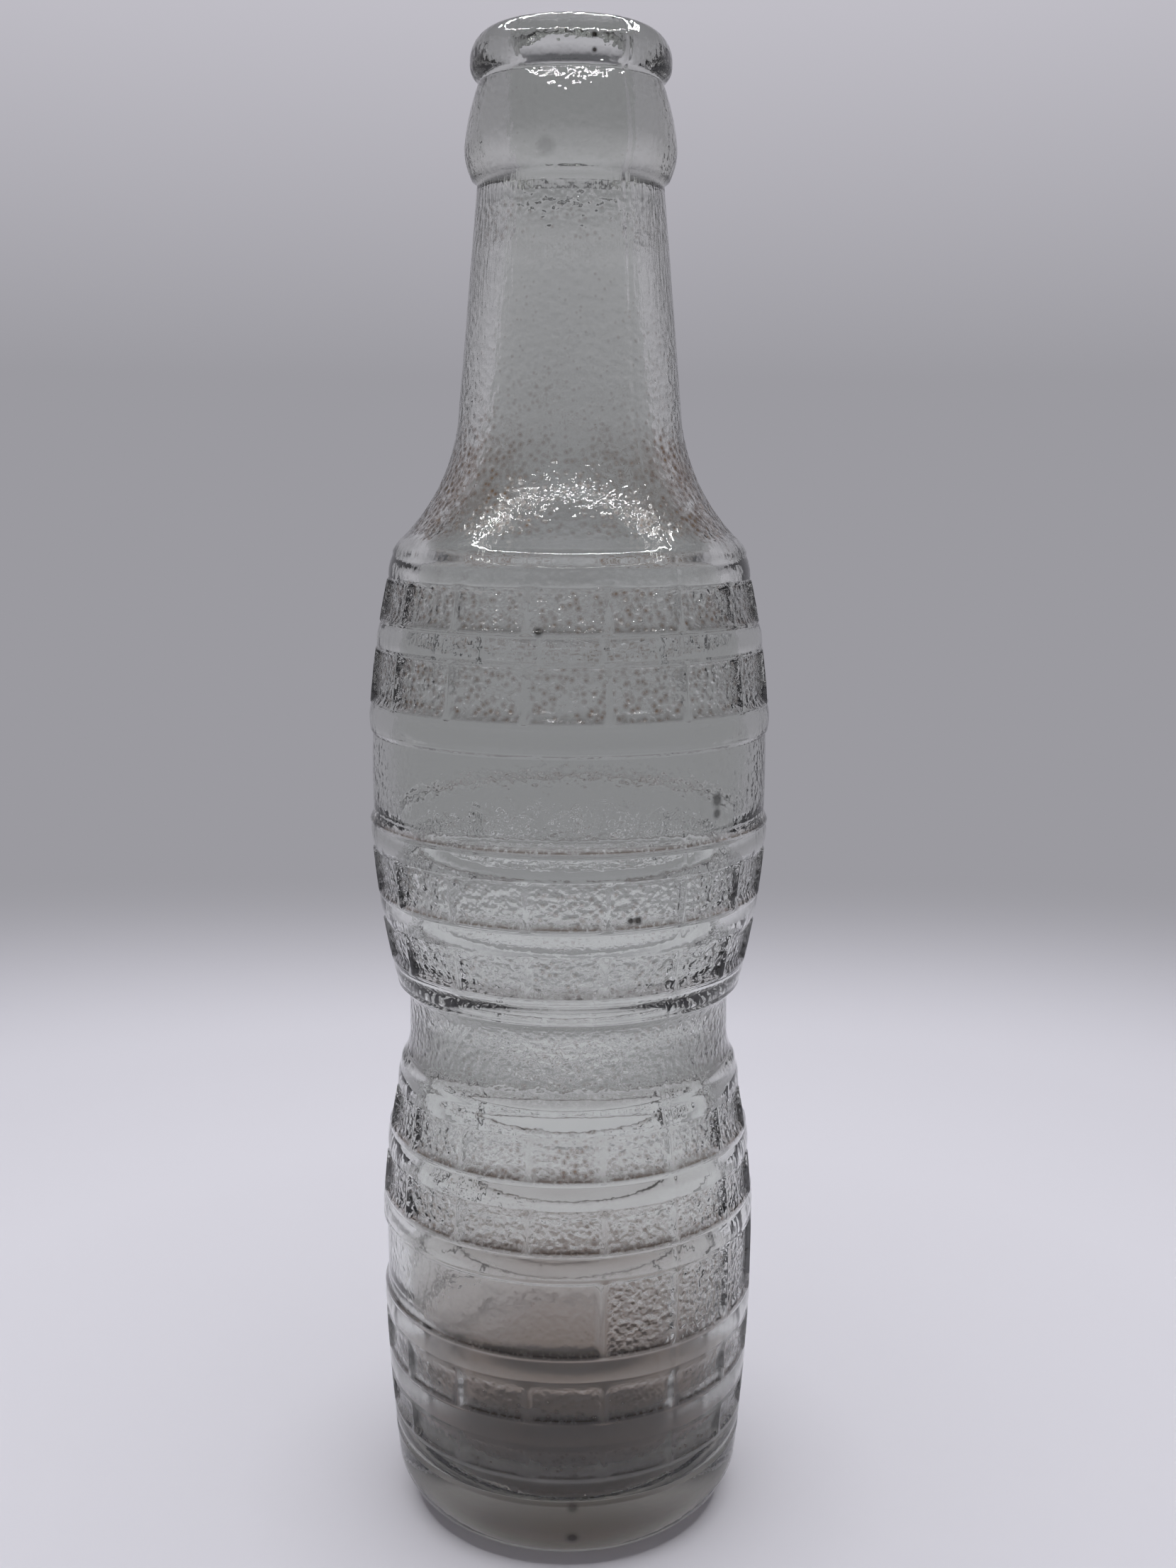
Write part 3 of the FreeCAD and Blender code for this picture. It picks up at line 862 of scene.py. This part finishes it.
def flint_glass(look, specks):
    """Clear soda-lime glass, pressed in an iron mould and blown."""
    # To the eye: bright gloss, pebbled fields, streaks under the collar, brown dirt in the pits and
    # ledges, dark painted shade mixed with fine dirt along the feet of the rows and a dull brown film inside.
    material, tree, output = new_material("pressed_flint_glass")
    place = add_node(tree, "ShaderNodeTexCoord").outputs["Object"]
    masks = {
        name: add_node(tree, "ShaderNodeAttribute", attribute_name=name).outputs["Fac"]
        for name in ("stipple", "streak", "soil", "film", "silt_and_shade")
    }
    pebble = add_node(
        tree,
        "ShaderNodeTexNoise",
        {"Vector": place, "Scale": 1 / look.pebble, "Detail": 1.0, "Roughness": 0.4},
    )
    pit = add_node(
        tree, "ShaderNodeTexVoronoi", {"Vector": place, "Scale": 1 / look.pebble}, feature="F1"
    )
    grain = add_node(
        tree,
        "ShaderNodeMath",
        {0: pit.outputs["Distance"], 1: PIT_SHARE, 2: pebble.outputs["Fac"]},
        operation="MULTIPLY_ADD",
    )
    pebbles = add_node(
        tree, "ShaderNodeMath", {0: grain.outputs[0], 1: masks["stipple"]}, operation="MULTIPLY"
    )
    drawn = add_node(tree, "ShaderNodeMapping", {"Vector": place, "Scale": (1.0, 1.0, STREAK_STRETCH)})
    streak = add_node(
        tree, "ShaderNodeTexNoise", {"Vector": drawn.outputs["Vector"], "Scale": 1 / look.drag, "Detail": 2.0}
    )
    streaks = add_node(
        tree, "ShaderNodeMath", {0: streak.outputs["Fac"], 1: masks["streak"]}, operation="MULTIPLY"
    )
    raised = add_node(
        tree,
        "ShaderNodeMath",
        {0: streaks.outputs[0], 1: look.drag_height / look.pebble_height, 2: pebbles.outputs[0]},
        operation="MULTIPLY_ADD",
    )
    bump = add_node(
        tree, "ShaderNodeBump", {"Strength": 1.0, "Distance": look.pebble_height, "Height": raised.outputs[0]}
    )
    grit = add_node(tree, "ShaderNodeTexNoise", {"Vector": place, "Scale": 1 / look.grit, "Detail": 3.0})
    patch = add_node(tree, "ShaderNodeTexNoise", {"Vector": place, "Scale": 1 / look.patch, "Detail": 2.0})
    hollow = add_node(
        tree,
        "ShaderNodeMath",
        {0: pit.outputs["Distance"], 1: -PIT_FALL, 2: PIT_DIRT},
        operation="MULTIPLY_ADD",
    )
    spread = add_node(
        tree,
        "ShaderNodeMath",
        {0: patch.outputs["Fac"], 1: PATCH_SHARE, 2: hollow.outputs[0]},
        operation="MULTIPLY_ADD",
    )
    held = add_node(
        tree,
        "ShaderNodeMath",
        {0: masks["soil"], 1: SOIL_SHARE, 2: spread.outputs[0]},
        operation="MULTIPLY_ADD",
    )
    dirt = add_node(
        tree,
        "ShaderNodeMapRange",
        {"Value": held.outputs[0], "From Min": DIRT_RANGE[0], "From Max": DIRT_RANGE[1]},
    )
    soiled = add_node(
        tree,
        "ShaderNodeMix",
        {"Factor": dirt.outputs["Result"], "A": (*look.clear, 1.0), "B": (*look.grime, 1.0)},
        data_type="RGBA",
    )
    thick = add_node(
        tree,
        "ShaderNodeMapRange",
        {"Value": grit.outputs["Fac"], "From Min": SILT_AND_SHADE_RANGE[0], "From Max": SILT_AND_SHADE_RANGE[1]},
    )
    # Painted shade: the silt tint darkens the foot of each row, partly as fine dirt and partly as the shade
    # of the ledges.
    line = add_node(
        tree, "ShaderNodeMath", {0: thick.outputs["Result"], 1: masks["silt_and_shade"]}, operation="MULTIPLY"
    )
    silted_and_shaded = add_node(
        tree,
        "ShaderNodeMix",
        {"Factor": line.outputs[0], "A": soiled.outputs["Result"], "B": (*look.silt_and_shade, 1.0)},
        data_type="RGBA",
    )
    tint = add_node(
        tree,
        "ShaderNodeMix",
        {"Factor": masks["film"], "A": silted_and_shaded.outputs["Result"], "B": (*look.residue, 1.0)},
        data_type="RGBA",
    )
    matt = add_node(
        tree, "ShaderNodeMath", {0: dirt.outputs["Result"], 1: masks["film"]}, operation="MAXIMUM"
    )
    for spot, (_, _, size, strength) in zip(specks, SPECKS):
        off = add_node(tree, "ShaderNodeVectorMath", {0: place, 1: spot}, operation="DISTANCE")
        mark = add_node(
            tree,
            "ShaderNodeMapRange",
            {
                "Value": off.outputs["Value"],
                "From Min": SPECK_FADE[0] * size * MM,
                "From Max": SPECK_FADE[1] * size * MM,
                "To Min": strength,
                "To Max": 0.0,
            },
        )
        tint = add_node(
            tree,
            "ShaderNodeMix",
            {"Factor": mark.outputs["Result"], "A": tint.outputs["Result"], "B": (*look.speck, 1.0)},
            data_type="RGBA",
        )
    rough = add_node(
        tree,
        "ShaderNodeMapRange",
        {"Value": matt.outputs[0], "To Min": look.roughness, "To Max": look.dirt_roughness},
    )
    glass = add_node(
        tree,
        "ShaderNodeBsdfPrincipled",
        {
            "Base Color": tint.outputs["Result"],
            "Roughness": rough.outputs["Result"],
            "IOR": look.ior,
            "Transmission Weight": 1.0,
            "Normal": bump.outputs["Normal"],
        },
    )
    depth = add_node(
        tree,
        "ShaderNodeVolumeAbsorption",
        {"Color": (*look.depth_tint, 1.0), "Density": look.depth_density},
    )
    tree.links.new(glass.outputs["BSDF"], output.inputs["Surface"])
    tree.links.new(depth.outputs["Volume"], output.inputs["Volume"])
    return material


def tent_cloth(look):
    """White cloth of a light tent, woven and matt."""
    # To the eye: a pale floor that passes into a wall with its own even glow, grey low down, paler
    # under the ring lamp and dark where the top is open.
    material, tree, output = new_material("white_tent_cloth")
    place = add_node(tree, "ShaderNodeTexCoord").outputs["Object"]
    axes = add_node(tree, "ShaderNodeSeparateXYZ", {"Vector": place})
    rise = add_node(tree, "ShaderNodeMapRange", {"Value": axes.outputs["Z"], "From Max": TONE_SPAN * MM})
    ramp = add_node(tree, "ShaderNodeValToRGB", {"Fac": rise.outputs["Result"]})
    elements = ramp.color_ramp.elements
    while len(elements) < len(TENT_TONES):
        elements.new(1.0)
    for element, (height, tone) in zip(elements, TENT_TONES):
        element.position = height / TONE_SPAN
        element.color = (*getattr(look, tone), 1.0)
    shade = add_node(
        tree,
        "ShaderNodeMapRange",
        {
            "Value": axes.outputs["Z"],
            "From Min": SHADE_RISE[0],
            "From Max": SHADE_RISE[1],
            "To Min": 1.0,
            "To Max": SHADE,
        },
        interpolation_type="SMOOTHSTEP",
    )
    seen = add_node(tree, "ShaderNodeLightPath").outputs["Is Camera Ray"]
    strength = add_node(tree, "ShaderNodeMath", {0: shade.outputs["Result"], 1: seen}, operation="MAXIMUM")
    glow = add_node(
        tree, "ShaderNodeEmission", {"Color": ramp.outputs["Color"], "Strength": strength.outputs[0]}
    )
    sides = [
        add_node(tree, "ShaderNodeMath", {0: axes.outputs[axis], 1: FLOOR_POWER}, operation="POWER")
        for axis in "XY"
    ]
    total = add_node(
        tree, "ShaderNodeMath", {0: sides[0].outputs[0], 1: sides[1].outputs[0]}, operation="ADD"
    )
    away = add_node(tree, "ShaderNodeMath", {0: total.outputs[0], 1: 1 / FLOOR_POWER}, operation="POWER")
    blend = add_node(
        tree,
        "ShaderNodeMapRange",
        {"Value": away.outputs[0], "From Min": look.floor_reach / 2, "From Max": look.floor_reach},
        interpolation_type="SMOOTHSTEP",
    )
    matt = add_node(tree, "ShaderNodeBsdfDiffuse", {"Color": (*look.floor_tone, 1.0)})
    cloth = add_node(
        tree,
        "ShaderNodeMixShader",
        {0: blend.outputs["Result"], 1: matt.outputs["BSDF"], 2: glow.outputs["Emission"]},
    )
    tree.links.new(cloth.outputs["Shader"], output.inputs["Surface"])
    return material


def lamp_strip(look):
    """White diode strip under a clear cover."""
    # To the eye: an even white line, bright enough to flash in the glass.
    material, tree, output = new_material("white_lamp_strip")
    glow = add_node(tree, "ShaderNodeEmission", {"Color": (1.0, 1.0, 1.0, 1.0), "Strength": look.ring_glow})
    tree.links.new(glow.outputs["Emission"], output.inputs["Surface"])
    return material


def spun_sheet(name, outline, steps, material):
    """A stage sheet, spun round the bottle's axis."""
    bm = bmesh.new()
    chain = [bm.verts.new((point.x, 0, point.y)) for point in outline]
    edges = [bm.edges.new(pair) for pair in zip(chain, chain[1:])]
    bmesh.ops.spin(
        bm, geom=chain + edges, cent=(0, 0, 0), axis=(0, 0, 1), angle=FULL_TURN, steps=steps, use_merge=True
    )
    bmesh.ops.remove_doubles(bm, verts=bm.verts, dist=WELD)
    mesh = bpy.data.meshes.new(name)
    bm.to_mesh(mesh)
    bm.free()
    mesh.shade_smooth()
    add_object(name, mesh, material)


class BOTTLE_OT_glass(bpy.types.Operator):
    """Lathe the bottle's wall, press its relief and give it its glass"""

    bl_idname = "bottle.glass"
    bl_label = "Glass bottle"

    def execute(self, context):
        sizes = context.scene.bottle_sizes
        look = context.scene.bottle_glass
        outline = BottleOutline(sizes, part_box(BOTTLE_NODE)[1].z)
        mesh = lathe(outline, sizes.staves * BottleRelief.columns_per_stave)
        specks = emboss(mesh, sizes, look)
        bottle = add_object("bottle_glass", mesh, flint_glass(look, specks))
        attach(bottle, "root")
        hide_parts(BOTTLE_NODE)
        return {"FINISHED"}


class BOTTLE_OT_stage(bpy.types.Operator):
    """Set up the light tent, its ring lamp and the camera"""

    bl_idname = "bottle.stage"
    bl_label = "Light tent and camera"

    def execute(self, context):
        scene = context.scene
        look = scene.bottle_stage
        wall = look.tent_radius
        bend = TENT_BEND * wall
        corners = [
            (0, 0, 0),
            (wall - bend, 0, bend),
            (wall, bend, 0),
            (wall, wall, wall),
            (0, 2 * wall, 0),
        ]
        spun_sheet("light_tent", walk(corners, STAGE_SPACING), STAGE_STEPS, tent_cloth(look))
        half = look.ring_width / 2
        strip = [Vector((look.ring_radius + side * half, look.ring_height)) for side in (-1, 1)]
        spun_sheet("ring_lamp", strip, STAGE_STEPS, lamp_strip(look))
        self.add_camera(scene, look)
        scene.view_settings.view_transform = "Standard"
        return {"FINISHED"}

    def add_camera(self, scene, look):
        data = bpy.data.cameras.new("camera")
        data.lens = look.focal_length
        data.clip_start = 0.01
        camera = bpy.data.objects.new("camera", data)
        scene.collection.objects.link(camera)
        place = Matrix.Translation((look.camera_side, -look.camera_back, look.camera_height))
        tilt = Matrix.Rotation(math.pi / 2 - look.camera_pitch, 4, "X")
        camera.matrix_world = place @ tilt @ Matrix.Rotation(look.camera_roll, 4, "Z")
        scene.camera = camera


class BOTTLE_PT_sidebar(bpy.types.Panel):
    """Buttons and sizes of the bottle"""

    bl_label = "Glass soda bottle"
    bl_idname = "BOTTLE_PT_sidebar"
    bl_space_type = "VIEW_3D"
    bl_region_type = "UI"
    bl_category = "Bottle"

    def draw(self, context):
        layout = self.layout
        for operator in (BOTTLE_OT_glass, BOTTLE_OT_stage):
            layout.operator(operator.bl_idname)
        scene = context.scene
        for group in (scene.bottle_sizes, scene.bottle_glass, scene.bottle_stage):
            box = layout.box()
            for name in group.__annotations__:
                box.prop(group, name)


CLASSES = (BottleSizes, GlassLook, StageLook, BOTTLE_OT_glass, BOTTLE_OT_stage, BOTTLE_PT_sidebar)


def register():
    for cls in CLASSES:
        bpy.utils.register_class(cls)
    bpy.types.Scene.bottle_sizes = bpy.props.PointerProperty(type=BottleSizes)
    bpy.types.Scene.bottle_glass = bpy.props.PointerProperty(type=GlassLook)
    bpy.types.Scene.bottle_stage = bpy.props.PointerProperty(type=StageLook)


def unregister():
    del bpy.types.Scene.bottle_stage
    del bpy.types.Scene.bottle_glass
    del bpy.types.Scene.bottle_sizes
    for cls in reversed(CLASSES):
        bpy.utils.unregister_class(cls)


def main():
    register()
    bpy.ops.bottle.glass()
    bpy.ops.bottle.stage()


if __name__ == "__main__":
    main()
